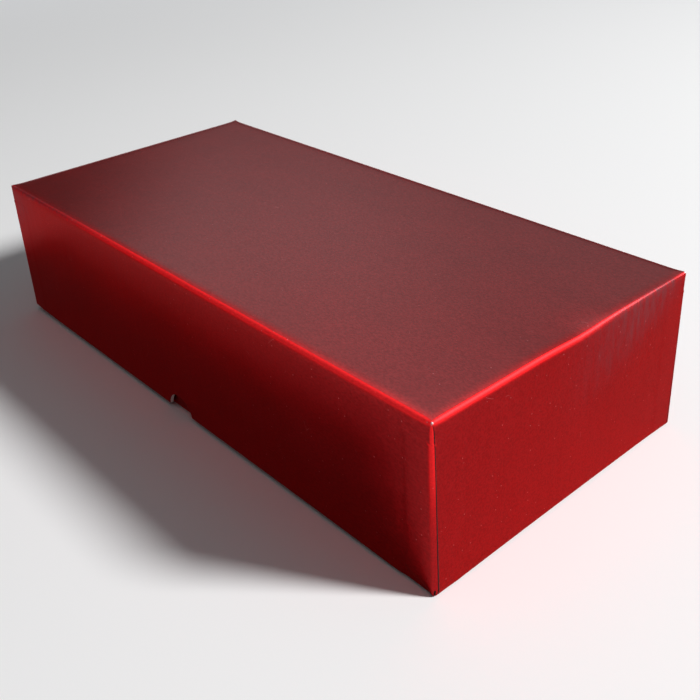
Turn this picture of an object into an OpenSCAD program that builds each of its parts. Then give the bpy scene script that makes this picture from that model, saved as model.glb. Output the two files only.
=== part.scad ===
// Two-row slab box: a paper-wrapped chipboard tray under a full-depth lift-off lid.
// Origin at the centre of the footprint on the table, +X along the length, +Z up.

/* [Box] */
// Outside length of the closed box
box_length = 388; // [300:1:480]
// Outside width of the closed box
box_width = 184; // [140:1:240]
// Height of the closed box, from the table to the top of the lid
box_height = 92.5; // [70:0.5:130]

/* [Board and paper] */
// Thickness of the chipboard
board = 1.9; // [1.2:0.1:2.2]
// Thickness of the foil-faced wrapping paper
paper = 0.2; // [0.15:0.05:0.4]
// Radius of the board on the outside of a scored fold
fold_radius = 1.6; // [1.2:0.1:2.4]

/* [Corner stays] */
// Thickness of the tape that ties two walls together at a corner
stay_tape = 0.15; // [0.1:0.05:0.3]
// How far a stay reaches along each wall from the corner
stay_flange = 16; // [10:1:24]
// Distance from the folded panel to the end of a stay
stay_drop = 11; // [6:1:20]

/* [Wrapping] */
// Depth of the paper turned in over the rim
turn_in = 16; // [12:1:24]
// Distance from the corner to an end flap's edge, at the folded panel
flap_inset_fold = 0.6; // [0.4:0.1:1.5]
// Distance from the corner to an end flap's edge, at the rim
flap_inset_rim = 3; // [2:0.1:6]
// Depth of the tray's paper turned under its bottom
turn_under = 16; // [12:1:24]
// Distance from the edge of the tray to the edge of its bottom sheet
sheet_inset = 4; // [3:0.5:8]

/* [Fit] */
// Clearance between the tray and the lid's turned-in paper, each side
side_clearance = 0.5; // [0.3:0.1:1.5]
// Gap between the tray's rim and the lid's top board
seat_gap = 0.2; // [0.1:0.1:0.6]
// Height of the lid's rim above the table
rim_above_table = 2; // [0.5:0.5:4]

/* [Thumb notches] */
// Radius of the punch that cuts a thumb notch
notch_radius = 11.4; // [10:0.1:16]
// Height of a notch above the lid's rim
notch_depth = 9.8; // [5:0.1:9.9]
// Position of the notches along the length, from the middle
notch_shift = -7; // [-20:1:20]

/* [Divider] */
// Thickness of the divider's board
divider_board = 1.2; // [0.8:0.1:2.2]
// Radius of the divider's board on the outside of a fold
divider_fold = 1.2; // [0.8:0.1:2.4]
// Width of the tab that is glued to the end wall
divider_tab = 20; // [12:1:36]
// Gap between the divider's top and the edge of the tray's turned-in paper
divider_gap = 1.5; // [0.5:0.5:10]

/* [Hidden] */
$fn = 64;
overrun = 1;

// Layers from a case's outermost face in to its board. A side wall has the paper and the
// stay, and an end wall also has the end flap, which laps over the first layer of paper.
side_layers = paper + stay_tape;
end_layers = side_layers + paper;
wrap_radius = fold_radius + side_layers;

lid_height = box_height - rim_above_table;
tray_length = box_length - 2 * (end_layers + board + paper + side_clearance);
tray_width = box_width - 2 * (side_layers + board + paper + side_clearance);
tray_height = box_height - paper - board - seat_gap;

tray_case_height = tray_height - paper;

divider_length = tray_length - 2 * (end_layers + board);
divider_floor = 2 * paper + board;
divider_height = tray_height - turn_in - divider_gap - divider_floor;

foil_red = [0.62, 0.08, 0.1];
board_white = [0.86, 0.85, 0.82];
stay_brown = [0.7, 0.56, 0.4];

// Rectangle with four round corners, centred
module round_rectangle(length, width, radius) {
    square([length - 2 * radius, width], center = true);
    square([length, width - 2 * radius], center = true);
    for (sx = [-1, 1], sy = [-1, 1])
        translate([sx * (length / 2 - radius), sy * (width / 2 - radius)])
            circle(r = radius);
}

// Rectangle that stands on y = 0, with its two top corners round
module round_top(span, height, radius) {
    translate([-span / 2, 0])
        square([span, height - radius]);
    translate([radius - span / 2, 0])
        square([span - 2 * radius, height]);
    for (s = [-1, 1])
        translate([s * (span / 2 - radius), height - radius])
            circle(r = radius);
}

// Block on z = 0 that is round along its upright edges and round its top
module folded_block(length, width, height, radius) {
    intersection() {
        linear_extrude(height)
            round_rectangle(length, width, radius);
        rotate([90, 0, 0])
            linear_extrude(width + 2 * overrun, center = true)
                round_top(length, height, radius);
        rotate([90, 0, 90])
            linear_extrude(length + 2 * overrun, center = true)
                round_top(width, height, radius);
    }
}

// The modules below draw a case, which is a folded board shell in its wrap. Here it stands
// on its rim, with the folded panel on top. Its length, width and height are the outermost.
function board_length(length) = length - 2 * end_layers;
function board_width(width) = width - 2 * side_layers;
function inside_length(length) = board_length(length) - 2 * board;
function inside_width(width) = board_width(width) - 2 * board;

// The board's outside, filled
module board_outside(length, width, height) {
    translate([0, 0, paper])
        folded_block(
            board_length(length), board_width(width), height - 2 * paper, fold_radius);
}

// Height of the walls, from the rim to the folded panel's inner face
function wall_height(height) = height - paper - board;

// The panel that the walls are folded from
module folded_panel(length, width, height) {
    color(board_white)
        intersection() {
            board_outside(length, width, height);
            translate([0, 0, wall_height(height)])
                linear_extrude(board + overrun)
                    square([length, width], center = true);
        }
}

// Wall along the length, from corner to corner
module long_wall(length, width, height, sy) {
    color(board_white)
        intersection() {
            board_outside(length, width, height);
            translate([0, sy * (inside_width(width) + board + overrun) / 2, 0])
                linear_extrude(wall_height(height))
                    square([length, board + overrun], center = true);
        }
}

// Wall across the width, between the long walls
module end_wall(length, width, height, sx) {
    color(board_white)
        intersection() {
            board_outside(length, width, height);
            translate([sx * (inside_length(length) + board + overrun) / 2, 0, 0])
                linear_extrude(wall_height(height))
                    square([board + overrun, inside_width(width)], center = true);
        }
}

// Angle round one corner of the board: its outer face is the stay's, and its inner face
// lies a given depth inside the board
module corner_angle(length, width, height, sx, sy, depth) {
    span = stay_flange + overrun;
    translate([0, 0, paper])
        linear_extrude(height - paper - stay_drop)
            intersection() {
                translate([
                    sx * (board_length(length) / 2 + overrun - span / 2),
                    sy * (board_width(width) / 2 + overrun - span / 2)
                ])
                    square([span, span], center = true);
                difference() {
                    round_rectangle(
                        board_length(length) + 2 * stay_tape,
                        board_width(width) + 2 * stay_tape,
                        fold_radius + stay_tape);
                    round_rectangle(
                        board_length(length) - 2 * depth,
                        board_width(width) - 2 * depth,
                        fold_radius - depth);
                }
            }
}

// Strip of tape folded round the corner, between the board and the wrap
module corner_stay(length, width, height, sx, sy) {
    color(stay_brown)
        corner_angle(length, width, height, sx, sy, 0);
}

// The margin at one corner of an end wall that the end flap leaves uncovered, with the
// thickness of the flap
module flap_margin(length, width, height, sx, sy) {
    translate([sx * (length / 2 - paper + overrun), 0, 0])
        rotate([90, 0, 90])
            linear_extrude(2 * overrun, center = true)
                polygon([
                    [sy * (width / 2 - flap_inset_rim), -overrun],
                    [sy * (width / 2 + overrun), -overrun],
                    [sy * (width / 2 + overrun), height + overrun],
                    [sy * (width / 2 - flap_inset_fold), height + overrun]
                ]);
}

// Paper turned in over the rim, on the inside of the board
module turned_in_paper(length, width) {
    linear_extrude(turn_in)
        difference() {
            square([inside_length(length), inside_width(width)], center = true);
            rim_opening(length, width);
        }
}

module rim_opening(length, width) {
    square(
        [inside_length(length) - 2 * paper, inside_width(width) - 2 * paper],
        center = true);
}

module paper_wrap(length, width, height) {
    color(foil_red)
        difference() {
            folded_block(length, width, height, wrap_radius);
            for (sx = [-1, 1], sy = [-1, 1])
                flap_margin(length, width, height, sx, sy);
            difference() {
                board_outside(length, width, height);
                turned_in_paper(length, width);
            }
            for (sx = [-1, 1], sy = [-1, 1])
                corner_angle(length, width, height, sx, sy, board / 2);
            translate([0, 0, -overrun])
                linear_extrude(overrun + turn_in)
                    rim_opening(length, width);
        }
}

// The lid stands on its rim, a little above the table
module lid_place() {
    translate([0, 0, rim_above_table])
        children();
}

// The tray is the other way up on its bottom sheet, so its front and back change over
module tray_place() {
    translate([0, 0, tray_height])
        rotate([180, 0, 0])
            children();
}

// Punch through both long walls of the lid
module thumb_notches() {
    translate([notch_shift, 0, rim_above_table + notch_depth - notch_radius])
        rotate([90, 0, 0])
            cylinder(h = box_width + 2 * overrun, r = notch_radius, center = true);
}

module lid_wrap() {
    color(foil_red)
        difference() {
            lid_place()
                paper_wrap(box_length, box_width, lid_height);
            thumb_notches();
        }
}

module lid_board_top() {
    lid_place()
        folded_panel(box_length, box_width, lid_height);
}

module lid_long_wall(sy) {
    color(board_white)
        difference() {
            lid_place()
                long_wall(box_length, box_width, lid_height, sy);
            thumb_notches();
        }
}

module lid_board_front() {
    lid_long_wall(-1);
}

module lid_board_back() {
    lid_long_wall(1);
}

module lid_board_left() {
    lid_place()
        end_wall(box_length, box_width, lid_height, -1);
}

module lid_board_right() {
    lid_place()
        end_wall(box_length, box_width, lid_height, 1);
}

module lid_stay(sx, sy) {
    lid_place()
        corner_stay(box_length, box_width, lid_height, sx, sy);
}

module lid_stay_front_left() {
    lid_stay(-1, -1);
}

module lid_stay_front_right() {
    lid_stay(1, -1);
}

module lid_stay_back_left() {
    lid_stay(-1, 1);
}

module lid_stay_back_right() {
    lid_stay(1, 1);
}

// Bare part of the tray's bottom, inside the paper that is turned under it
module bare_bottom() {
    square([tray_length - 2 * turn_under, tray_width - 2 * turn_under], center = true);
}

module tray_wrap() {
    color(foil_red)
        difference() {
            tray_place()
                paper_wrap(tray_length, tray_width, tray_case_height);
            linear_extrude(2 * paper + board / 2)
                bare_bottom();
        }
}

// Sheet pasted over the turned-under edges and the bare board between them
module tray_bottom_sheet() {
    color(foil_red) {
        linear_extrude(paper)
            square(
                [tray_length - 2 * sheet_inset, tray_width - 2 * sheet_inset],
                center = true);
        linear_extrude(2 * paper)
            bare_bottom();
    }
}

module tray_board_bottom() {
    tray_place()
        folded_panel(tray_length, tray_width, tray_case_height);
}

module tray_board_front() {
    tray_place()
        long_wall(tray_length, tray_width, tray_case_height, 1);
}

module tray_board_back() {
    tray_place()
        long_wall(tray_length, tray_width, tray_case_height, -1);
}

module tray_board_left() {
    tray_place()
        end_wall(tray_length, tray_width, tray_case_height, -1);
}

module tray_board_right() {
    tray_place()
        end_wall(tray_length, tray_width, tray_case_height, 1);
}

module tray_stay(sx, sy) {
    tray_place()
        corner_stay(tray_length, tray_width, tray_case_height, sx, -sy);
}

module tray_stay_front_left() {
    tray_stay(-1, -1);
}

module tray_stay_front_right() {
    tray_stay(1, -1);
}

module tray_stay_back_left() {
    tray_stay(-1, 1);
}

module tray_stay_back_right() {
    tray_stay(1, 1);
}

// Half of the divider: the web from the middle out to the fold, and the tab past it
module divider_half() {
    translate([0, -divider_board / 2])
        square([divider_length / 2 - divider_fold, divider_board]);
    translate([divider_length / 2 - divider_fold, divider_fold - divider_board / 2])
        circle(r = divider_fold);
    translate([divider_length / 2 - divider_board, divider_fold - divider_board / 2])
        square([divider_board, divider_tab - divider_fold]);
}

// Strip of board that parts the rows, with a tab folded at each end
module row_divider() {
    color(board_white)
        translate([0, 0, divider_floor])
            linear_extrude(divider_height)
                for (turn = [0, 180])
                    rotate(turn)
                        divider_half();
}

lid_wrap();
lid_board_top();
lid_board_front();
lid_board_back();
lid_board_left();
lid_board_right();
lid_stay_front_left();
lid_stay_front_right();
lid_stay_back_left();
lid_stay_back_right();
tray_wrap();
tray_bottom_sheet();
tray_board_bottom();
tray_board_front();
tray_board_back();
tray_board_left();
tray_board_right();
tray_stay_front_left();
tray_stay_front_right();
tray_stay_back_left();
tray_stay_back_right();
row_divider();
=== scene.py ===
"""Looks of the slab box: a foil-papered tray of two rows, under a full-depth lid that lifts off."""

import math

import bmesh
import bpy
import numpy as np
from mathutils import Matrix, Vector


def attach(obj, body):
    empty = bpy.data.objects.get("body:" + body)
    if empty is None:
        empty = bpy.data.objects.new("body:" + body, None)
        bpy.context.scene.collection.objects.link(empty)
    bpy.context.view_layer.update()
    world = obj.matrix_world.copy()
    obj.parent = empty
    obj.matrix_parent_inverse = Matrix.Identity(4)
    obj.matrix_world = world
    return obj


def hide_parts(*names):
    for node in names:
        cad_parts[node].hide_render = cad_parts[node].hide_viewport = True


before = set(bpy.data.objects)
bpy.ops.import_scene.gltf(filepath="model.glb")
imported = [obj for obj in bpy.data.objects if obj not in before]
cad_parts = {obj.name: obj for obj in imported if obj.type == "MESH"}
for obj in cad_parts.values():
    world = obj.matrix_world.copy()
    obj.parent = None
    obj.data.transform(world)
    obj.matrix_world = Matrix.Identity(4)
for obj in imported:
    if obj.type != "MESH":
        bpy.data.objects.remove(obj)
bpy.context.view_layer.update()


# Camera. The box is seen from above its right front corner, a little turned to the left, through a
# normal lens. The picture's middle lies a little below the lens's own axis.

camera_place = Vector((0.414691, -0.317412, 0.316234))
camera_right = Vector((0.664414, 0.745837, -0.047749))
camera_up = Vector((-0.308529, 0.331917, 0.891425))
camera_back = Vector((0.680707, -0.577544, 0.450645))

camera_data = bpy.data.cameras.new("camera")
camera_data.lens = 50.05
camera_data.sensor_width = 36.0
camera_data.shift_y = -0.1
camera_data.clip_start = 0.01
camera_data.clip_end = 50.0
camera = bpy.data.objects.new("camera", camera_data)
bpy.context.scene.collection.objects.link(camera)
camera.matrix_world = Matrix.Translation(camera_place) @ Matrix(
    (camera_right, camera_up, camera_back)
).transposed().to_4x4()
bpy.context.scene.camera = camera


# Lid wrap. One sheet of red foil-faced paper, glued over the lid's board. It rounds the edges and
# turns in over the rim, and its end flaps lap over the corner tabs, with a cut edge beside each
# upright corner.

# Sizes are in millimetres, and heights within a case are above its rim.
paper = 0.2
stay_tape = 0.15
board = 1.9
board_radius = 1.6
side_layers = paper + stay_tape
wall_layers = side_layers + board + paper
wrap_radius = board_radius + side_layers
lid_size = (388.0, 184.0, 90.5)
lid_rim_z = 2.0
lid_end, lid_side, lid_top = lid_size[0] / 2, lid_size[1] / 2, lid_rim_z + lid_size[2]
turn_in = 16.0
rim_bend = 0.6
inner_radius = 0.3
stay_reach = 16.0
stay_drop = 11.0
seam_column = 2.2
seam_reach = 9.0
notch_x = -7.0
notch_radius = 11.4
notch_top = 9.8
notch_drop = notch_radius - notch_top
notch_chord = math.sqrt(notch_radius**2 - notch_drop**2)


def ring_knots(half_x, half_y, radius):
    """Knots of a round-cornered loop, by distance round it from its front left corner's middle.

    Between two knots the loop's core point and the angle of its normal both change in a straight
    line: along a wall the core point moves and the angle stays, and round a corner the core point
    stays and the angle turns.
    """
    a, b, q = half_x - radius, half_y - radius, radius * math.pi / 4
    s = np.cumsum([0, q, 2 * a, 2 * q, 2 * b, 2 * q, 2 * a, 2 * q, 2 * b, q])
    x = np.array([-a, -a, a, a, a, a, -a, -a, -a, -a])
    y = np.array([-b, -b, -b, -b, b, b, b, b, -b, -b])
    angle = np.radians([225, 270, 270, 360, 360, 450, 450, 540, 540, 585])
    corners = np.array([0.0, (s[2] + s[3]) / 2, (s[4] + s[5]) / 2, (s[6] + s[7]) / 2, s[9]])
    return {"a": a, "b": b, "q": q, "s": s, "x": x, "y": y, "angle": angle, "corners": corners}


# Where a wall has columns of points: by distance from its end, from the flap's cut edge and from
# the notch's middle, as shares of a corner's bend, and evenly spaced from even_x or even_y inwards.
from_end = [0, 0.5, 1.1, 1.8, 2.6, 3.6, 5, 7, 9.5, 11.5, 13, 13.8, 14.4, 15, 15.6, 16.4, 18, 21]
from_end = np.array(from_end + [26, 33, 42, 52])
from_cut_edge = np.array([-0.8, -0.62, -0.54, -0.06, 0.0, 0.12, 0.4])
from_notch = np.array([-15, -13, -11.6, 11.6, 13, 15])
along_notch = notch_chord * np.sin(np.linspace(-math.pi / 2, math.pi / 2, 31))
across_bend = np.array([-0.8, -0.6, -0.4, -0.2, 0, 0.2, 0.4, 0.6, 0.8])
even_x, even_y = 62, 60


def ring_columns(ring):
    """Distances round the loop at which the sheet has a column of points.

    They are close together where the paper bends or is cut: round the corners, at a stay's edge,
    at a flap's cut edge and at a thumb notch. Opposite walls have the same columns, so that their
    sheets meet in the middle.
    """
    a, b, q, corners = ring["a"], ring["b"], ring["q"], ring["corners"]
    cut = seam_column - q + from_cut_edge
    x = [from_end - a, a - from_end, np.linspace(even_x - a, a - even_x, 25)]
    x += [notch_x + along_notch, notch_x + from_notch]
    y = [from_end[1:] - b, b - from_end[1:], cut - b, b - cut]
    y += [np.linspace(even_y - b, b - even_y, 8), [-b, b]]
    x, y = (np.unique(np.round(np.concatenate(places), 4)) for places in (x, y))
    bend = q * across_bend
    parts = [q + x + a, corners[1] + q + y + b, corners[2] + q + a - x, corners[3] + q + b - y]
    parts += [c + bend for c in corners[1:4]] + [bend[4:], corners[4] + bend[:4]]
    return np.unique(np.round(np.concatenate(parts), 4))


def end_distance(ring, s):
    """Distance along an end wall from the middle of its nearer corner, and 0 on the long walls."""
    c = ring["corners"]
    right = np.clip(np.minimum(s - c[1], c[2] - s), 0, None)
    left = np.clip(np.minimum(s - c[3], c[4] - s), 0, None)
    return right + left


def corner_distance(ring, s):
    """Distance along any wall from the middle of its nearer corner."""
    return np.abs(s[..., None] - ring["corners"]).min(-1)


def seam_place(z, height):
    """Distance of an end flap's cut edge from the middle of the corner, by height above the rim.

    It follows straight lines between four heights, and the flap is widest at its top.
    """
    return np.interp(z, [0, height - 24, height - 4, height - 1.9], [2.6, 1.65, 1.15, 0.35])


def lean_to_seam(ring, s, z, height):
    """Slides an end wall's columns so that one of them follows the flap's slanting cut edge.

    The distance from the corner is stretched in a straight line on each side of the cut edge.
    """
    away = end_distance(ring, s)
    seam = seam_place(z, height)
    near = away * seam / seam_column
    far = seam + (away - seam_column) * (seam_reach - seam) / (seam_reach - seam_column)
    moved = np.where(away < seam_column, near, far)
    shift = np.where((away > 0) & (away < seam_reach), moved - away, 0)
    c = ring["corners"]
    forward = (np.abs(s - c[1]) < seam_reach) | (np.abs(s - c[3]) < seam_reach)
    return s + np.where(forward, shift, -shift)


def ease(x, low, high):
    """Smooth rise from 0 at low to 1 at high: three times the square less twice the cube."""
    t = np.clip((x - low) / (high - low), 0, 1)
    return t * t * (3 - 2 * t)


def bell(x, width, power=2):
    """Bell curve of 1 at 0: e to minus the power of x over the width. A high power flattens it."""
    return np.exp(-((x / width) ** power))


lip_below = 0.4
lip_width = 0.5
lip_reach = 2.7


def lip_share(ring, s, z, height):
    """A small ridge across each upright corner, where the stay under the paper begins.

    It is a bell curve of the height, times a flat-topped one of the distance from the corner.
    """
    ridge = bell(z - height + stay_drop + lip_below, lip_width)
    return ridge * bell(corner_distance(ring, s), lip_reach, 6)


# How far the paper stands out on bare board, over a stay, over the ridge and at the very most, and
# its steps beside a flap's cut edge, by distance from the corner.
bare_level, stay_rise, lip_rise, most_level = -0.2, 0.07, 0.13, -0.02
step_places = [0, 0.4, 1.4, 1.58, 1.66, 2.14, 2.2, 3.2, 6.0]
step_levels = [0, -0.06, -0.09, -0.09, -0.17, -0.17, 0.05, 0.03, 0.0]


def paper_relief(ring, s, away, z, height):
    """How far the paper stands from the case's outermost face, never outwards of it.

    It is lowest on the bare board and rises over the stays. On the end walls it drops by one layer
    beside the flap's cut edge, with a narrow gap along it, and the flap's own edge curls up a
    little. These steps fade out round the top edge.
    """
    beside = ease(-corner_distance(ring, s), -stay_reach - 2.4, -stay_reach + 1.2)
    below = ease(-z, stay_drop - height - 0.6, stay_drop - height + 0.4)
    level = bare_level + stay_rise * (beside * below)
    level = level + lip_rise * lip_share(ring, s, z, height)
    fade = 1 - ease(z, height - wrap_radius, height)
    steps = np.interp(away, step_places, step_levels) * fade * (away > 0)
    return np.minimum(level + steps, most_level)


def rim_height(ring, s, notched):
    """Height of the sheet's lower edge: a circle's arc at each thumb notch, and 0 elsewhere."""
    x = np.interp(s, ring["s"], ring["x"])
    flat_angle = np.interp(s, ring["s"], ring["angle"])
    on_long = np.isclose(np.abs(np.sin(flat_angle)), 1.0)
    reach = notch_radius**2 - (x - notch_x) ** 2
    arc = np.sqrt(np.clip(reach, 0, None)) - notch_drop
    return np.where(on_long & notched, np.clip(arc, 0, None), 0.0)


lifted_rows = 14
panel_relief = 0.2


def case_skin(ring, s, rows, height, notched, relief):
    """Points of a sheet round a case, as rows by columns by 3, standing on its rim.

    Each row is a loop: its core rectangle shrunk to the row's own size, plus the row's radius along
    the normal. The lowest rows are lifted to follow the lower edge, less and less going up. The
    relief is added along the row's own slope, and at a fifth of its size on the flat panel.
    """
    row_parts = [np.array(c, float)[:, None] for c in zip(*rows)]
    half_x, half_y, radius, z_row, cosine, sine = row_parts
    lower = rim_height(ring, s, notched)[None, :]
    z = z_row + lower * np.clip(1 - z_row / lifted_rows, 0, 1)
    away = end_distance(ring, s)[None, :] + 0 * z
    place = lean_to_seam(ring, s[None, :] + 0 * z, z, height)
    core_x = np.interp(place, ring["s"], ring["x"]) * half_x / ring["a"]
    core_y = np.interp(place, ring["s"], ring["y"]) * half_y / ring["b"]
    angle = np.interp(place, ring["s"], ring["angle"])
    out = relief(ring, place, away, z, height) if relief else 0 * z
    reach = radius + out * cosine
    x, y = core_x + np.cos(angle) * reach, core_y + np.sin(angle) * reach
    return np.stack([x, y, z + panel_relief * out * sine], -1)


def quarter_turn(steps, start, end):
    """Cosines and sines of evenly spaced angles, in degrees, from start to end."""
    angles = np.radians(np.linspace(start, end, steps))
    return list(zip(np.cos(angles), np.sin(angles)))


# Heights of rows: below the top edge and round the ridge, evenly down the wall, at the rim, and up
# the turned-in paper.
top_steps = [0.6, 1.4, 2.4, 3.6, 5, 6.5, 7.8, 8.4, 8.8, 9.1, 9.4, 9.8, 10.6, 12, 14.5, 18, 23]
rim_steps = [12, 9.5, 7, 5, 3.5, 2.2, 1.3, 0.6]
inward_steps = rim_steps[-2::-1] + [turn_in]


def wrap_rows(ring, height, panel):
    """Rows of a wrap: from the folded panel out over the edge, down, round the rim and up inside.

    A row is the half length and half width of its core, its radius, its height above the rim, and
    the cosine and sine of the slope there. The edges are quarter circles, and panel gives the
    shares of it that have rows. An end wall is thicker by one layer of paper, because its flap
    laps over the corner tabs.
    """
    a, b, r = ring["a"], ring["b"], wrap_radius
    rows = [(a - b + b * share, b * share, 0, height, 0, 1) for share in panel]
    rows += [(a, b, r * c, height - r + r * n, c, n) for c, n in quarter_turn(10, 90, 0)]
    down = height - r - np.array(top_steps)
    steps = np.concatenate([down, np.linspace(height - 32, 15, 8), rim_steps])
    rows += [(a, b, r, z, 1, 0) for z in steps]
    bend, inner = rim_bend, inner_radius
    for c, n in quarter_turn(5, 0, 90)[1:]:
        rows.append((a, b, r - bend + bend * c, bend - bend * n, c, 0))
    in_a, in_b = a + r - wall_layers - paper - inner, b + r - wall_layers - inner
    rows.append((in_a + bend, in_b + bend, inner, 0, 0, 0))
    for c, n in quarter_turn(4, 60, 0):
        core = (in_a + bend - bend * c, in_b + bend - bend * c)
        rows.append((*core, inner, bend - bend * n, 0, 0))
    rows += [(in_a, in_b, inner, z, 0, 0) for z in inward_steps]
    return rows


def rim_row(rows):
    """Number of a wrap's last row before it bends round the rim."""
    return int(np.argmax(np.array([r[3] for r in rows]) < rim_bend - 0.01)) - 1


weld = 0.002


def sheet_mesh(name, points, left_out=None, kinds=None, wear_and_light=None, closed=True):
    """A piece from a grid of points, which closes round its columns or is left open.

    Points that lie on each other are merged. Faces marked in left_out are holes, and kinds numbers
    each face's material. The wear dictionary holds shares from 0 to 1 for each point, of wear and
    of painted highlight, sheen and shade, which the material reads by name.
    """
    rows, columns = points.shape[:2]
    index = np.arange(rows * columns).reshape(rows, columns)
    turned = np.roll(index, -1, axis=1)
    faces = np.stack([index[:-1], index[1:], turned[1:], turned[:-1]], -1)
    faces = faces if closed else faces[:, :-1]
    keep = np.ones(faces.shape[:2], bool) if left_out is None else ~left_out
    kinds = np.zeros(faces.shape[:2], int) if kinds is None else kinds
    mesh = bpy.data.meshes.new(name)
    mesh.from_pydata((points.reshape(-1, 3) / 1000).tolist(), [], faces[keep].tolist())
    mesh.polygons.foreach_set("material_index", kinds[keep].astype(np.int32))
    for label, share in (wear_and_light or {}).items():
        values = mesh.attributes.new(label, "FLOAT", "POINT").data
        values.foreach_set("value", share.ravel().astype(np.float32))
    mesh.polygons.foreach_set("use_smooth", np.ones(len(mesh.polygons), bool))
    work = bmesh.new()
    work.from_mesh(mesh)
    bmesh.ops.remove_doubles(work, verts=work.verts, dist=weld / 1000)
    work.to_mesh(mesh)
    work.free()
    mesh.update()
    piece = bpy.data.objects.new(name, mesh)
    bpy.context.scene.collection.objects.link(piece)
    return piece


def corner_swell(dx, dy, reach):
    """A rise of 1 at a corner, which dies away as e to minus the distance over the reach."""
    return np.exp(-np.hypot(dx, dy) / reach)


# How the lid is bent: its drawn-out corners, dip, pressed edges, lean, feet, and the dents in its
# front and end walls with the creases over them. Pairs are where a bend begins and where it ends.
point_x, point_y, point_z, point_share, point_width = 193.85, 91.85, 92.4, 0.9, 4.0
dip_depth, dip_middle, dip_width = 1.1, 7, 17
dip_x, dip_z = (176, 192), (62, 90)
press_depth, press_width, press_spared, spared_width = 0.42, 3.2, 0.9, 6.0
lean_x, lean_y, lean_reach = 0.45, 0.4, 60
left_front_rise, left_back_rise, right_back_drop, right_front_drop = 1.4, 1.6, 1.2, 1.7
foot_reach, foot_top, foot_tuck = 12, 34, 0.3
front_dent, front_fade, front_face, front_lap = 0.7, (16, 25), (89.6, 91.2), 2
front_crease_places = [0, 2.7, 5.1, 9, 14.5, 19.2, 20.8, 26]
front_crease_heights = [1.2, 1.7, 3.9, 5.3, 5.8, 7.9, 12, 12]
end_dent, end_fade, end_face = 0.35, (14, 24), (191.4, 193)
end_crease_height, end_crease_slope = 5.6, 0.2


def lid_bend(points):
    """Moves the lid's points, above the table, as making and handling have bent the real one.

    The four top corners are drawn out to a point: each coordinate moves towards its own face by a
    bell curve of the distance from the corner. The top edge of the right end dips by a bell curve
    along it. All four top edges are pressed in by a bell curve of the distance from the edge, less
    so at the corners other than the right front one. At the right front corner the walls lean in by
    less than the clearance, and their lowest part is dented in, below a crease that curves up along
    each wall. The rim comes down at the two right corners and rises at the two left ones, and all
    of this dies away from the corner.
    """
    x, y, z = points[..., 0], points[..., 1], points[..., 2]
    corner = (lid_end - np.abs(x)) + (lid_side - np.abs(y)) + (lid_top - z)
    drawn = point_share * bell(corner, point_width)
    x = x + np.sign(x) * np.clip(point_x - np.abs(x), 0, None) * drawn
    y = y + np.sign(y) * np.clip(point_y - np.abs(y), 0, None) * drawn
    z = z + np.clip(point_z - z, 0, None) * drawn

    right_front = corner_swell(x - lid_end, y + lid_side, lean_reach)
    right_back = corner_swell(x - lid_end, y - lid_side, foot_reach)
    left_front = corner_swell(x + lid_end, y + lid_side, foot_reach)
    left_back = corner_swell(x + lid_end, y - lid_side, foot_reach)
    foot = left_front_rise * left_front - right_back_drop * right_back
    foot = foot + left_back_rise * left_back - right_front_drop * right_front

    dip = -dip_depth * bell(y - dip_middle, dip_width) * ease(x, *dip_x) * ease(z, *dip_z)
    firm = press_depth * (1 - press_spared * bell(corner, spared_width) * (1 - right_front))
    pressed = firm * bell((lid_side - np.abs(y)) + (lid_top - z), press_width)
    pressed_end = firm * bell((lid_end - np.abs(x)) + (lid_top - z), press_width)

    crease = np.interp(lid_end - x, front_crease_places, front_crease_heights)
    dented = front_dent * ease(crease + front_lap - z, 0, 3)
    dented = dented * (1 - ease(lid_end - x, *front_fade)) * ease(-y, *front_face)
    end_crease = end_crease_height - end_crease_slope * (y + lid_side)
    dented_end = end_dent * ease(end_crease - z, 0, 2.5)
    dented_end = dented_end * (1 - ease(y + lid_side, *end_fade)) * ease(x, *end_face)

    climb = np.clip((z - lid_rim_z) / lid_size[2], 0, 1)
    moved_x = x - np.sign(x) * pressed_end - lean_x * right_front * climb - dented_end
    moved_x = moved_x - foot_tuck * right_back * (1 - climb)
    moved_y = y - np.sign(y) * pressed + lean_y * right_front + dented
    moved_z = z + dip + foot * (1 - ease(z, lid_rim_z, foot_top))
    return np.stack([moved_x, moved_y, moved_z - np.maximum(pressed, pressed_end)], -1)


lid_ring = ring_knots(lid_end, lid_side, wrap_radius)
lid_columns = ring_columns(lid_ring)
panel_shares = [0, 0.14, 0.28, 0.41, 0.53, 0.64, 0.74, 0.83, 0.9, 0.945, 0.97, 0.985]
lid_rows = wrap_rows(lid_ring, lid_size[2], panel_shares)
lid_points = case_skin(lid_ring, lid_columns, lid_rows, lid_size[2], True, paper_relief)
lid_points[..., 2] += lid_rim_z
lid_points = lid_bend(lid_points)

first_rim = rim_row(lid_rows)
last_rim = len(lid_rows) - len(inward_steps) - 1
column_rim = rim_height(lid_ring, lid_columns, True)
in_notch = (column_rim > 0.02) | (np.roll(column_rim, -1) > 0.02)
left_out = np.zeros((len(lid_rows) - 1, len(lid_columns)), bool)
left_out[first_rim:last_rim, in_notch] = True

foil_side, cut_edge, gap_shade = 0, 1, 2
edge_from, edge_to = 2.1, 2.25
gap_from, gap_to = 1.55, 2.18


def cut_edge_kinds(ring, columns, rows, height):
    """Material numbers of a wrap's faces: its foil, its cut edge, and the dark gap beside that.

    The edge and the gap are the end walls' faces whose columns lie between two distances from the
    corner, on the outside and short of the top edge.
    """
    away = end_distance(ring, columns)
    ahead = np.roll(away, -1)
    low, high = np.minimum(away, ahead), np.maximum(away, ahead)
    z = np.array([r[3] for r in rows])[:-1, None]
    outside = np.arange(len(rows) - 1)[:, None] < rim_row(rows)
    wall = (z > 0.5) & (z < height - 0.4) & outside
    edge = (low > edge_from) & (high < edge_to) & (low < high)
    gap = (low > gap_from) & (high < gap_to)
    return np.where(edge & wall, cut_edge, np.where(gap & wall, gap_shade, foil_side))


# Shares of the painted highlight on the upright edges, by height: it fades downwards.
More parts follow.
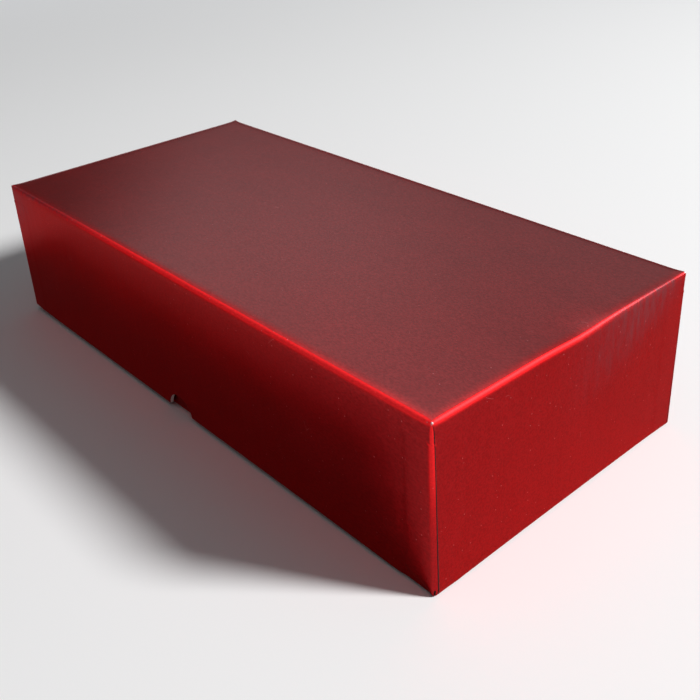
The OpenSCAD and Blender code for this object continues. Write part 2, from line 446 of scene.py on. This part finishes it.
upright_heights = [2.6, 28, 44, 60, 71]
upright_highlight = [0.04, 0.14, 0.38, 0.9, 1.0]


def fold_share(ring, columns, rows, height):
    """Share of a folded edge at each point: 1 along the middle of a bend, and 0 on flat paper.

    The foil paints this share as a bright highlight, partly rubbed wear. The top edges take the
    sine of twice the slope's angle, with a bell curve down the first millimetre of the wall and a
    weaker one along the panel. The upright edges take one less the square of the place across the
    bend, which is wider below the stay's ridge, and they fade downwards. The ridge counts as a
    fold too, so it takes the painted highlight as well.
    """
    _, half_width, _, z, cosine, sine = [np.array(c, float)[:, None] for c in zip(*rows)]
    upper = np.clip(5.0 * cosine * sine, 0, 1) * (z > height / 2)
    band = bell(height - wrap_radius - z, 0.8) * (cosine > 0.9)
    panel = 0.3 * bell(ring["b"] - half_width, 2.4) * (sine > 0.9)
    wide = 1.5 - 0.5 * ease(z, height - stay_drop - 0.8, height - stay_drop + 0.4)
    across = corner_distance(ring, columns)[None, :] / (wide * ring["q"])
    upright = np.clip(1.6 * (1 - across**2), 0, 1) * np.interp(z, upright_heights, upright_highlight)
    ridge = lip_share(ring, columns[None, :] + 0 * z, z, height)
    on_wall = np.maximum(upright, ridge) * (cosine > 0.9)
    return np.maximum(np.maximum(upper, band), np.maximum(on_wall, panel))


# The folds are painted bright red as a painted highlight, partly rubbed wear, brightest at
# the right front corner and fading towards the back and the left, and the four top corners are
# worn through to the paper. The upper far part of the right end wall takes greyish streaks of
# painted sheen. The upper far left of the front wall and the front top edge there take them too,
# and there they darken the foil as painted shade.
lid_x, lid_y, lid_z = lid_points[..., 0], lid_points[..., 1], lid_points[..., 2]
lid_fold = fold_share(lid_ring, lid_columns, lid_rows, lid_size[2])
lid_fold = lid_fold * (1 - 0.75 * ease(lid_y, -20, 85)) * (1 - 0.6 * ease(-lid_x, 40, 180))

tips = np.array([[1, -1, 1], [1, 1, 1], [-1, -1, 1], [-1, 1, 1]]) * [lid_end, lid_side, lid_top]
tip_reach = np.array([2.7, 2.1, 2.2, 2.0])
tip_distance = np.linalg.norm(lid_points[:, :, None, :] - tips, axis=-1)
lid_bare = (1 - ease(tip_distance, 0.6 * tip_reach, 1.25 * tip_reach)).max(-1)

# Painted sheen: greyish streaks on the upper far part of the right end wall. At the upper far left
# of the front wall, and along the front top edge there, they darken the foil as painted shade.
far_right_sheen = ease(lid_x, 191, 193) * ease(lid_y, -20, 70)
far_right_sheen = far_right_sheen * ease(lid_z + 0.42 * (lid_side - lid_y) - 70, 0, 34)
far_right_sheen = far_right_sheen * ease(92.4 - lid_y, 0, 12)
far_left_sheen_shade = ease(-lid_y, 89, 91) * ease(-lid_x, 150, 192) * ease(lid_z, 44, 84)
dull_edge_shade = np.clip(3 * lid_fold, 0, 1) * ease(-lid_x, 30, 185) * ease(-lid_y, 80, 90)
lid_painted_sheen = np.maximum(far_right_sheen, np.maximum(far_left_sheen_shade, 0.9 * dull_edge_shade))
lid_wear_and_light = {"fold": lid_fold, "bare": lid_bare, "painted_sheen": lid_painted_sheen}

# At the foot of the right front corner, a thin line of faces along the fold is painted near black
# as painted shade.
lid_kinds = cut_edge_kinds(lid_ring, lid_columns, lid_rows, lid_size[2])
parted_height, parted_reach = 3.6, 0.35
foot_rows = np.array([r[3] for r in lid_rows])[:-1] < parted_height
foot_rows &= np.arange(len(lid_rows) - 1) < first_rim
foot_columns = np.abs(lid_columns - lid_ring["corners"][1]) < parted_reach
lid_kinds[np.ix_(foot_rows, foot_columns)] = gap_shade
lid_wrap = sheet_mesh("lid_foil_wrap", lid_points, left_out, lid_kinds, lid_wear_and_light)


def node_group(name, inputs, outputs):
    """A new shader node group with these named float, colour or vector sockets."""
    group = bpy.data.node_groups.new(name, "ShaderNodeTree")
    kinds = {"f": "NodeSocketFloat", "c": "NodeSocketColor", "v": "NodeSocketVector"}
    for label, kind, value in inputs:
        socket = group.interface.new_socket(name=label, in_out="INPUT", socket_type=kinds[kind])
        if value is not None:
            socket.default_value = value
    for label, kind in outputs:
        group.interface.new_socket(name=label, in_out="OUTPUT", socket_type=kinds[kind])
    group_in = group.nodes.new("NodeGroupInput").outputs
    return group, group_in, group.nodes.new("NodeGroupOutput").inputs


def fill_socket(tree, socket, value):
    """Links a socket to another one, or sets its value."""
    if isinstance(value, bpy.types.NodeSocket):
        tree.links.new(value, socket)
    else:
        socket.default_value = value


def add_node(tree, kind, settings=None, **sockets):
    """A node with settings on the node itself, and values or links on its sockets.

    A socket is given by its name, with _ for a space, or by i and its number.
    """
    made = tree.nodes.new(kind)
    for key, value in (settings or {}).items():
        setattr(made, key, value)
    for key, value in sockets.items():
        numbered = key[0] == "i" and key[1:].isdigit()
        label = int(key[1:]) if numbered else key.replace("_", " ")
        fill_socket(tree, made.inputs[label], value)
    return made


def math_node(tree, operation, *values):
    """The result of a Math node on two or three values or links."""
    inputs = {f"i{number}": value for number, value in enumerate(values)}
    return add_node(tree, "ShaderNodeMath", {"operation": operation}, **inputs).outputs[0]


def noise_node(tree, coordinates, scale, detail, roughness=0.5):
    """A Noise node over these coordinates. Its values lie on both sides of 0.5."""
    sockets = {"Scale": scale, "Detail": detail, "Roughness": roughness}
    return add_node(tree, "ShaderNodeTexNoise", Vector=coordinates, **sockets)


def move_range(tree, value, low, high, to_low, to_high, smooth=False):
    """A value moved from one range to another and held at its ends, in a straight line or eased."""
    settings = {"interpolation_type": "SMOOTHSTEP"} if smooth else {}
    ends = {"i1": low, "i2": high, "i3": to_low, "i4": to_high}
    return add_node(tree, "ShaderNodeMapRange", settings, Value=value, **ends).outputs[0]


# Paper grain: a fine noise for the face's orange peel, and one 22 times as broad for its tone.
grain_group, given, put_out = node_group(
    "paper_grain",
    [("Coordinates", "v", None), ("Size", "f", 0.001), ("Stretch", "f", 1.0)],
    [("Height", "f"), ("Broad", "f")],
)
grain_scale = math_node(grain_group, "DIVIDE", 1.0, given["Size"])
stretch = add_node(grain_group, "ShaderNodeCombineXYZ", X=given["Stretch"], Y=1.0, Z=1.0)
multiply = {"operation": "MULTIPLY"}
stretched = add_node(
    grain_group, "ShaderNodeVectorMath", multiply, i0=given["Coordinates"], i1=stretch.outputs[0]
).outputs[0]
fine = noise_node(grain_group, stretched, grain_scale, 2.0, 0.55)
broad_scale = math_node(grain_group, "DIVIDE", grain_scale, 22.0)
broad = noise_node(grain_group, stretched, broad_scale, 3.0)
grain_group.links.new(fine.outputs["Fac"], put_out["Height"])
grain_group.links.new(broad.outputs["Fac"], put_out["Broad"])

# Dust specks: round spots in about half of the cells of a scattered pattern, each of its own size.
dust_group, given, put_out = node_group(
    "dust_specks",
    [("Coordinates", "v", None), ("Spacing", "f", 0.008), ("Size", "f", 0.03)],
    [("Mask", "f")],
)
speck_scale = math_node(dust_group, "DIVIDE", 1.0, given["Spacing"])
speck_cells = {"Scale": speck_scale, "Randomness": 1.0}
specks = add_node(dust_group, "ShaderNodeTexVoronoi", Vector=given["Coordinates"], **speck_cells)
picked = add_node(dust_group, "ShaderNodeSeparateColor", Color=specks.outputs["Color"])
speck_size = math_node(dust_group, "MULTIPLY", picked.outputs[0], given["Size"])
speck = math_node(dust_group, "LESS_THAN", specks.outputs["Distance"], speck_size)
chosen = math_node(dust_group, "GREATER_THAN", picked.outputs[1], 0.45)
dust_group.links.new(math_node(dust_group, "MULTIPLY", speck, chosen), put_out["Mask"])

# Hair scratches: thin curved lines between warped cells, kept in a few small patches.
scratch_group, given, put_out = node_group(
    "hair_scratches", [("Coordinates", "v", None), ("Amount", "f", 0.5)], [("Mask", "f")]
)
warp = noise_node(scratch_group, given["Coordinates"], 18.0, 2.0).outputs["Color"]
warped = add_node(
    scratch_group,
    "ShaderNodeVectorMath",
    {"operation": "MULTIPLY_ADD"},
    i0=warp,
    i1=(0.03, 0.03, 0.03),
    i2=given["Coordinates"],
).outputs[0]
to_edge = {"feature": "DISTANCE_TO_EDGE"}
cells = add_node(scratch_group, "ShaderNodeTexVoronoi", to_edge, Vector=warped, Scale=42.0)
hair = math_node(scratch_group, "LESS_THAN", cells.outputs["Distance"], 0.004)
where = noise_node(scratch_group, given["Coordinates"], 95.0, 1.0).outputs["Fac"]
spared = math_node(scratch_group, "MULTIPLY", given["Amount"], 0.1)
spared = math_node(scratch_group, "SUBTRACT", 0.76, spared)
patch = math_node(scratch_group, "GREATER_THAN", where, spared)
scratch_group.links.new(math_node(scratch_group, "MULTIPLY", hair, patch), put_out["Mask"])


def place_group(tree, group, **sockets):
    """The outputs of a node that holds a group, with these values or links on its sockets."""
    return add_node(tree, "ShaderNodeGroup", {"node_tree": group}, **sockets).outputs


def new_material(name, **values):
    """A material whose Principled shader has these constants.

    It comes with its node tree, the shader's sockets and the piece's Object coordinates.
    """
    material = bpy.data.materials.new(name)
    material.use_nodes = True
    tree = material.node_tree
    shader = tree.nodes["Principled BSDF"]
    for key, value in values.items():
        shader.inputs[key.replace("_", " ")].default_value = value
    coordinates = tree.nodes.new("ShaderNodeTexCoord").outputs["Object"]
    return material, tree, shader.inputs, coordinates


def mix_colour(tree, factor, first, second):
    """A blend of two colours by a factor."""
    made = add_node(tree, "ShaderNodeMix", {"data_type": "RGBA"}, i0=factor, i6=first, i7=second)
    return made.outputs[2]


def mesh_share(tree, label):
    """A share that the mesh holds for each of its points, and 0 on a mesh that doesn't hold it."""
    return add_node(tree, "ShaderNodeAttribute", {"attribute_name": label}).outputs["Fac"]


foil_red, foil_dark_red = (0.32, 0.009, 0.011, 1), (0.28, 0.006, 0.008, 1)
foil_roughness = 0.30
# Bright red of the painted highlight on the folds, which is partly rubbed wear.
rubbed_highlight_red = (0.88, 0.026, 0.029, 1)
# Greyish dull red of the painted sheen streaks, which also serve as painted shade.
sheen_and_shade_red = (0.18, 0.053, 0.059, 1)
# Dark red of the painted shade on the tray's walls where the lid's notches bare them.
notch_shade_red = (0.08, 0.003, 0.004, 1)
worn_paper = (0.66, 0.58, 0.58, 1)
dust_red = (0.80, 0.24, 0.24, 1)


def foil_paper(name):
    """Red metal foil on paper under a clear lacquer, with fine orange peel and broad soft waves.

    A tone between the two reds is scaled by the grain. A painted highlight on the folds, partly
    rubbed wear, blends it to a bright red. Greyish streaks of painted sheen blend it to a dull red,
    and they are painted shade at the front wall's far left. Painted shade where the lid's notches
    bare the tray blends it to a dark red. Where it is worn through, bare paper shows through the
    grain, and dust and hair scratches lie over all. The lacquer thins out on folds and on the
    walls.
    """
    constants = {"Metallic": 1.0, "Coat_Roughness": 0.14, "Specular_Tint": (1.0, 0.35, 0.35, 1)}
    material, tree, shader, at = new_material(name, **constants)
    grain = place_group(tree, grain_group, Coordinates=at, Size=0.0009, Stretch=0.5)
    dust = place_group(tree, dust_group, Coordinates=at, Spacing=0.0036, Size=0.10)
    scratch = place_group(tree, scratch_group, Coordinates=at, Amount=0.5)

    tone = mix_colour(tree, grain["Broad"], foil_dark_red, foil_red)
    mottle = move_range(tree, grain["Height"], 0.35, 0.65, 0.82, 1.14)
    scaled = {"operation": "SCALE"}
    tone = add_node(tree, "ShaderNodeVectorMath", scaled, i0=tone, Scale=mottle).outputs[0]

    normal = tree.nodes["Texture Coordinate"].outputs["Normal"]
    upward = add_node(tree, "ShaderNodeSeparateXYZ", Vector=normal).outputs["Z"]
    lacquer = move_range(tree, upward, 0.9, 0.99, 0.12, 1.0, smooth=True)
    fold = mesh_share(tree, "fold")
    unfolded = move_range(tree, fold, 0.0, 0.5, 1.0, 0.0)
    sheen = move_range(tree, grain["Height"], 0.35, 0.65, 0.91, 1.06)
    sheen = math_node(tree, "MULTIPLY", sheen, unfolded)
    tree.links.new(math_node(tree, "MULTIPLY", lacquer, sheen), shader["Coat Weight"])

    # The folds are painted towards the bright red as a painted highlight, varied by the grain.
    highlight_grain = math_node(tree, "MULTIPLY_ADD", grain["Height"], 0.5, 0.65)
    rubbed_highlight = math_node(tree, "MULTIPLY", fold, highlight_grain)
    tone = mix_colour(tree, rubbed_highlight, tone, rubbed_highlight_red)

    # Streaks of painted sheen, which darken the foil as painted shade at the front wall's far left.
    drawn_out = add_node(tree, "ShaderNodeMapping", Vector=at, Scale=(1.0, 1.0, 0.2)).outputs[0]
    streaks = noise_node(tree, drawn_out, 420.0, 3.0, 0.6).outputs["Fac"]
    streaks = move_range(tree, streaks, 0.36, 0.64, 0.4, 1.0)
    painted_sheen_share = math_node(tree, "MULTIPLY", mesh_share(tree, "painted_sheen"), streaks)
    tone = mix_colour(tree, painted_sheen_share, tone, sheen_and_shade_red)
    # Painted shade where the lid's notches bare the tray.
    tone = mix_colour(tree, mesh_share(tree, "notch_shade"), tone, notch_shade_red)

    bare = math_node(tree, "ADD", mesh_share(tree, "bare"), grain["Height"])
    through = move_range(tree, bare, 1.0, 1.4, 0.0, 1.0)
    tone = mix_colour(tree, through, tone, worn_paper)
    metal = math_node(tree, "SUBTRACT", 1.0, math_node(tree, "MULTIPLY", through, 0.9))
    tree.links.new(metal, shader["Metallic"])

    marks = math_node(tree, "MULTIPLY", scratch["Mask"], 0.5)
    marks = math_node(tree, "MAXIMUM", dust["Mask"], marks)
    colour = mix_colour(tree, math_node(tree, "MULTIPLY", marks, 0.45), tone, dust_red)
    tree.links.new(colour, shader["Base Color"])

    matt = math_node(tree, "MULTIPLY_ADD", grain["Broad"], 0.08, foil_roughness - 0.04)
    matt = math_node(tree, "MULTIPLY_ADD", rubbed_highlight, 0.3, matt)
    tree.links.new(matt, shader["Roughness"])

    upright = add_node(tree, "ShaderNodeMapping", Vector=at, Scale=(1.0, 1.0, 0.22)).outputs[0]
    waves = noise_node(tree, upright, 75.0, 2.0).outputs["Fac"]
    wave_bump = {"Height": waves, "Strength": 0.5, "Distance": 0.00025}
    soft = add_node(tree, "ShaderNodeBump", **wave_bump).outputs[0]
    peel_bump = {"Height": grain["Height"], "Strength": 0.4, "Distance": 0.00006}
    peel = add_node(tree, "ShaderNodeBump", Normal=soft, **peel_bump).outputs[0]
    tree.links.new(peel, shader["Normal"])
    return material


def grained(name, dark, light, size, stretch=1.0, **constants):
    """A matt material whose colour runs from dark to light with the paper's fine grain."""
    material, tree, shader, at = new_material(name, **constants)
    grain = place_group(tree, grain_group, Coordinates=at, Size=size, Stretch=stretch)
    tree.links.new(mix_colour(tree, grain["Height"], dark, light), shader["Base Color"])
    return material


lid_foil = foil_paper("lid_red_foil")
core_finish = {"Roughness": 0.8, "Specular_IOR_Level": 0.2}
# The paper's cut edge, which also backs each wrap, is coloured far darker than the paper itself, as
# painted shade along the flap's cut edge.
core_dark, core_light = (0.10, 0.04, 0.04, 1), (0.25, 0.15, 0.14, 1)
shaded_paper_core = grained("shaded_paper_core", core_dark, core_light, 0.0004, **core_finish)
# The gap beside a flap's cut edge, and that line at the lid's right front foot, are painted near
# black as painted shade.
gap_finish = {"Roughness": 0.9, "Specular_IOR_Level": 0.05}
gap_dark, gap_light = (0.012, 0.003, 0.004, 1), (0.03, 0.008, 0.01, 1)
seam_gap_shade = grained("seam_gap_shade", gap_dark, gap_light, 0.0006, **gap_finish)

sheet_thickness = 0.1


def thicken(piece):
    """Gives a sheet its thickness, inwards from its face."""
    solid = piece.modifiers.new("thickness", "SOLIDIFY")
    solid.thickness = sheet_thickness / 1000
    solid.offset = -1
    return solid


def finish_wrap(piece, foil):
    """Gives a wrap its materials, its sharp cut edges and its thickness. Its back is bare paper."""
    for material in (foil, shaded_paper_core, seam_gap_shade):
        piece.data.materials.append(material)
    piece.data.set_sharp_from_angle(angle=math.radians(38))
    solid = thicken(piece)
    solid.use_even_offset = True
    solid.use_rim = True
    solid.material_offset = 1
    solid.material_offset_rim = 1


finish_wrap(lid_wrap, lid_foil)
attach(lid_wrap, "lid")
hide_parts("lid_wrap")


# Lid board. A folded blank of white-lined chipboard, tied at its corners. Its raw cut edge shows at
# the thumb notches, and its lining shows inside the lid above the turned-in paper.

end_layers = side_layers + paper
raw_edge_z = 0.25
raw_edge_bevel = 0.12


def board_shell(size):
    """Rows of a closed shell of board: its outside, its cut edge at the rim and its inside.

    They are made as a wrap's rows are, and they run inwards along the lining back to its middle.
    """
    r, inner, top = board_radius, inner_radius, size[2] - paper
    out_a, out_b = size[0] / 2 - end_layers - r, size[1] / 2 - side_layers - r
    in_a, in_b = out_a + r - board - inner, out_b + r - board - inner
    rows = []
    for share in panel_shares:
        rows.append((out_a - out_b + out_b * share, out_b * share, 0, top, 0, 0))
    rows += [(out_a, out_b, r * c, top - r + r * n, 0, 0) for c, n in quarter_turn(7, 90, 0)]
    levels = np.concatenate([np.linspace(top - r - 3, 15, 10), rim_steps])
    rows += [(out_a, out_b, r, z, 0, 0) for z in levels]
    rows.append((out_a, out_b, r - raw_edge_bevel, raw_edge_z, 0, 0))
    rows.append((in_a, in_b, inner + raw_edge_bevel, raw_edge_z, 0, 0))
    rows += [(in_a, in_b, inner, z, 0, 0) for z in levels[::-1]]
    lining_z = top - board
    rows.append((in_a, in_b, inner, lining_z, 0, 0))
    for share in panel_shares[::-1]:
        rows.append((in_a - in_b + in_b * share, in_b * share, inner * share, lining_z, 0, 0))
    return rows


board_rows = board_shell(lid_size)
board_points = case_skin(lid_ring, lid_columns, board_rows, lid_size[2], True, None)
board_points[..., 2] += lid_rim_z
lid_board = sheet_mesh("lid_board_blank", lid_bend(board_points))
lid_board.data.set_sharp_from_angle(angle=math.radians(30))


def lined_board(name, lining, flecks):
    """White-lined chipboard: a matt, faintly fibrous lining with small grey and brown flecks.

    The lining's tone falls to 93% with the broad grain, and specks of the flecks' colour lie on it.
    """
    material, tree, shader, at = new_material(name, Roughness=0.75, Specular_IOR_Level=0.25)
    grain = place_group(tree, grain_group, Coordinates=at, Size=0.0009, Stretch=0.35)
    fleck = place_group(tree, dust_group, Coordinates=at, Spacing=0.0045, Size=0.09)
    tone = mix_colour(tree, grain["Broad"], [v * 0.93 for v in lining[:3]] + [1], lining)
    colour = mix_colour(tree, math_node(tree, "MULTIPLY", fleck["Mask"], 0.5), tone, flecks)
    tree.links.new(colour, shader["Base Color"])
    fibres = {"Height": grain["Height"], "Strength": 0.4, "Distance": 0.00008}
    bump = add_node(tree, "ShaderNodeBump", **fibres).outputs[0]
    tree.links.new(bump, shader["Normal"])
    return material


board_flecks = (0.36, 0.30, 0.24, 1)
lid_lining = lined_board("lid_lined_board", (0.78, 0.76, 0.72, 1), board_flecks)
lid_board.data.materials.append(lid_lining)
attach(lid_board, "lid")
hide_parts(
    "lid_board_top",
    "lid_board_front",
    "lid_board_back",
    "lid_board_left",
    "lid_board_right",
)


# Corner stays. Strips of brown gummed tape, folded round the corners of both boards under the
# wraps. They can't be seen, but the wrap stands up a little over each.

stay_finish = {"Roughness": 0.7, "Specular_IOR_Level": 0.3}
tape_dark, tape_light = (0.33, 0.21, 0.12, 1), (0.45, 0.31, 0.19, 1)
stay_material = grained("gummed_kraft_tape", tape_dark, tape_light, 0.0007, 0.3, **stay_finish)


def dress(node, material):
    """Gives a solid of the CAD model its material."""
    node.data.materials.clear()
    node.data.materials.append(material)


for name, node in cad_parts.items():
    if name.startswith("tray_stay"):
        dress(node, stay_material)


stay_behind = 0.24


def behind_paper(ring, s, away, z, height):
    """How far a stay's face lies behind the case's outermost face: one layer more at the ends."""
    return -stay_behind - paper * ease(away, 0.3, 1.2)


loop = lid_ring["s"][-1]
stay_levels = np.append(np.linspace(lid_size[2] - stay_drop, 15, 6), rim_steps)
stay_rows = [(lid_ring["a"], lid_ring["b"], wrap_radius, z, 1, 0) for z in stay_levels]
for corner, name in enumerate(("front_left", "front_right", "back_right", "back_left")):
    middle = lid_ring["corners"][corner]
    offset = (lid_columns - middle + loop / 2) % loop - loop / 2
    around = (middle + np.sort(offset[np.abs(offset) < stay_reach + 0.1])) % loop
    stay_points = case_skin(lid_ring, around, stay_rows, lid_size[2], False, behind_paper)
    stay_points[..., 2] += lid_rim_z
    stay = sheet_mesh("lid_corner_stay_" + name, lid_bend(stay_points), closed=False)
    stay.data.materials.append(stay_material)
    thicken(stay)
    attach(stay, "lid")
    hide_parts("lid_stay_" + name)


# Tray wrap. The same foil paper, glued over the tray's board: up the walls, in over the rim, and a
# margin under the bottom. It is painted a little darker where the lid's notches bare it, as painted
# shade in the notches.

tray_size = (381.7, 178.1, 90.0)
tray_rim_z = 90.2
under_margin = 16.0
tray_ring = ring_knots(tray_size[0] / 2, tray_size[1] / 2, wrap_radius)
tray_columns = ring_columns(tray_ring)
under_share = (tray_size[1] / 2 - under_margin) / (tray_size[1] / 2 - wrap_radius)
tray_rows = wrap_rows(tray_ring, tray_size[2], np.linspace(under_share, 0.985, 6))
tray_points = case_skin(tray_ring, tray_columns, tray_rows, tray_size[2], False, paper_relief)


def stand_tray(points):
    """Turns a case over about X, so that its rim is up and its panel lies on the bottom sheet."""
    return np.stack([points[..., 0], -points[..., 1], tray_rim_z - points[..., 2]], -1)


tray_sheet = stand_tray(tray_points)
tray_kinds = cut_edge_kinds(tray_ring, tray_columns, tray_rows, tray_size[2])
tray_highlight_strength, notch_shade_strength = 0.35, 0.3
# The tray's folds take a weaker painted highlight.
tray_fold = tray_highlight_strength * fold_share(tray_ring, tray_columns, tray_rows, tray_size[2])
# Painted shade on the tray's walls behind the lid's notches, fading upwards.
tray_notch_shade = notch_shade_strength * (1 - ease(np.abs(tray_sheet[..., 0] - notch_x), 9, 17))
tray_notch_shade = tray_notch_shade * (1 - ease(tray_sheet[..., 2], 7, 20))
tray_notch_shade = tray_notch_shade * ease(np.abs(tray_sheet[..., 1]), 87.5, 88.5)
tray_wear_and_light = {"fold": tray_fold, "notch_shade": tray_notch_shade}
tray_wrap = sheet_mesh("tray_foil_wrap", tray_sheet, None, tray_kinds, tray_wear_and_light)
tray_foil = foil_paper("tray_red_foil")
finish_wrap(tray_wrap, tray_foil)
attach(tray_wrap, "tray")
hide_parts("tray_wrap")


# Tray bottom sheet. A plain sheet of the foil paper, pasted under the tray over the turned-under
# margins of its wrap.

dress(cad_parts["tray_bottom_sheet"], tray_foil)


# Tray board. A folded blank of the same white-lined chipboard as the lid's, tied at its corners.
# Its lining is the inside of the tray.

tray_lining = lined_board("tray_lined_board", (0.76, 0.74, 0.70, 1), board_flecks)
for name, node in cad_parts.items():
    if name.startswith("tray_board"):
        dress(node, tray_lining)


# Row divider. A strip of thinner board along the middle of the tray, with a tab folded at each end
# and glued to the end wall.

divider_lining, divider_flecks = (0.74, 0.73, 0.70, 1), (0.40, 0.34, 0.28, 1)
divider_material = lined_board("divider_lined_board", divider_lining, divider_flecks)
dress(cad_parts["row_divider"], divider_material)


# Floor and light. A plain pale floor that fades into the surround, one large soft lamp from the
# right and behind, and a surround that is pale low down and overhead.

floor_half = 12.0
floor_z = -0.0003
floor_corners = [(-1, -1), (1, -1), (1, 1), (-1, 1)]
floor_points = [(floor_half * x, floor_half * y, floor_z) for x, y in floor_corners]
floor_mesh = bpy.data.meshes.new("floor")
floor_mesh.from_pydata(floor_points, [], [(0, 1, 2, 3)])
floor = bpy.data.objects.new("floor", floor_mesh)
bpy.context.scene.collection.objects.link(floor)

black = (0.0, 0.0, 0.0, 1)
floor_grey, floor_glow = (0.9, 0.9, 0.9, 1), (0.76, 0.776, 0.80, 1)


def seen_rays(tree):
    """1 where a ray comes from the camera, a glossy face or a clear one, and 0 for light."""
    paths = tree.nodes.new("ShaderNodeLightPath").outputs
    seen = math_node(tree, "MAXIMUM", paths["Is Camera Ray"], paths["Is Glossy Ray"])
    return math_node(tree, "MAXIMUM", seen, paths["Is Transmission Ray"])


floor_finish = {"Roughness": 0.9, "Specular_IOR_Level": 0.1, "Emission_Strength": 1.0}
floor_material, tree, shader, at = new_material("pale_floor", **floor_finish)
away = add_node(tree, "ShaderNodeVectorMath", {"operation": "LENGTH"}, i0=at).outputs["Value"]
far = move_range(tree, away, 0.7, 2.6, 0.0, 1.0, smooth=True)
tree.links.new(mix_colour(tree, far, floor_grey, black), shader["Base Color"])
glowing = math_node(tree, "MULTIPLY", far, seen_rays(tree))
tree.links.new(mix_colour(tree, glowing, black, floor_glow), shader["Emission Color"])
floor_mesh.materials.append(floor_material)

key_data = bpy.data.lights.new("key", "AREA")
key_data.shape = "DISK"
key_data.size = 0.85
key_data.energy = 235.0
key = bpy.data.objects.new("key", key_data)
bpy.context.scene.collection.objects.link(key)
key_place = Vector((2.83, 1.92, 2.44))
key_aim = Vector((0, 0, 0.04))
key_turn = (key_place - key_aim).to_track_quat("Z", "Y").to_matrix().to_4x4()
key.visible_camera = False
key.matrix_world = Matrix.Translation(key_place) @ key_turn

world = bpy.data.worlds.new("surround")
bpy.context.scene.world = world
world.use_nodes = True
tree = world.node_tree
background = tree.nodes["Background"].inputs
background["Color"].default_value = (0.95, 0.97, 1.0, 1)
direction = tree.nodes.new("ShaderNodeTexCoord").outputs["Object"]
split = add_node(tree, "ShaderNodeSeparateXYZ", Vector=direction).outputs
low_down = move_range(tree, split["Z"], 0.08, 0.2, 0.8, 0.04, smooth=True)
halfway = move_range(tree, split["Z"], 0.2, 0.46, 0.0, 0.56, smooth=True)
overhead = move_range(tree, split["Z"], 0.56, 0.77, 0.0, 1.1, smooth=True)
off_left = move_range(tree, split["X"], -0.87, -0.79, 0.0, 1.0, smooth=True)
behind = move_range(tree, split["Y"], 0.57, 0.71, 1.0, 0.7, smooth=True)
halfway = math_node(tree, "MULTIPLY", math_node(tree, "MULTIPLY", halfway, behind), off_left)
strength = math_node(tree, "ADD", math_node(tree, "ADD", low_down, overhead), halfway)

# The surround shows at full strength, and lights the box with only an eighth of it.
share = math_node(tree, "MULTIPLY_ADD", seen_rays(tree), 0.88, 0.12)
tree.links.new(math_node(tree, "MULTIPLY", strength, share), background["Strength"])

bpy.context.scene.view_settings.view_transform = "Standard"
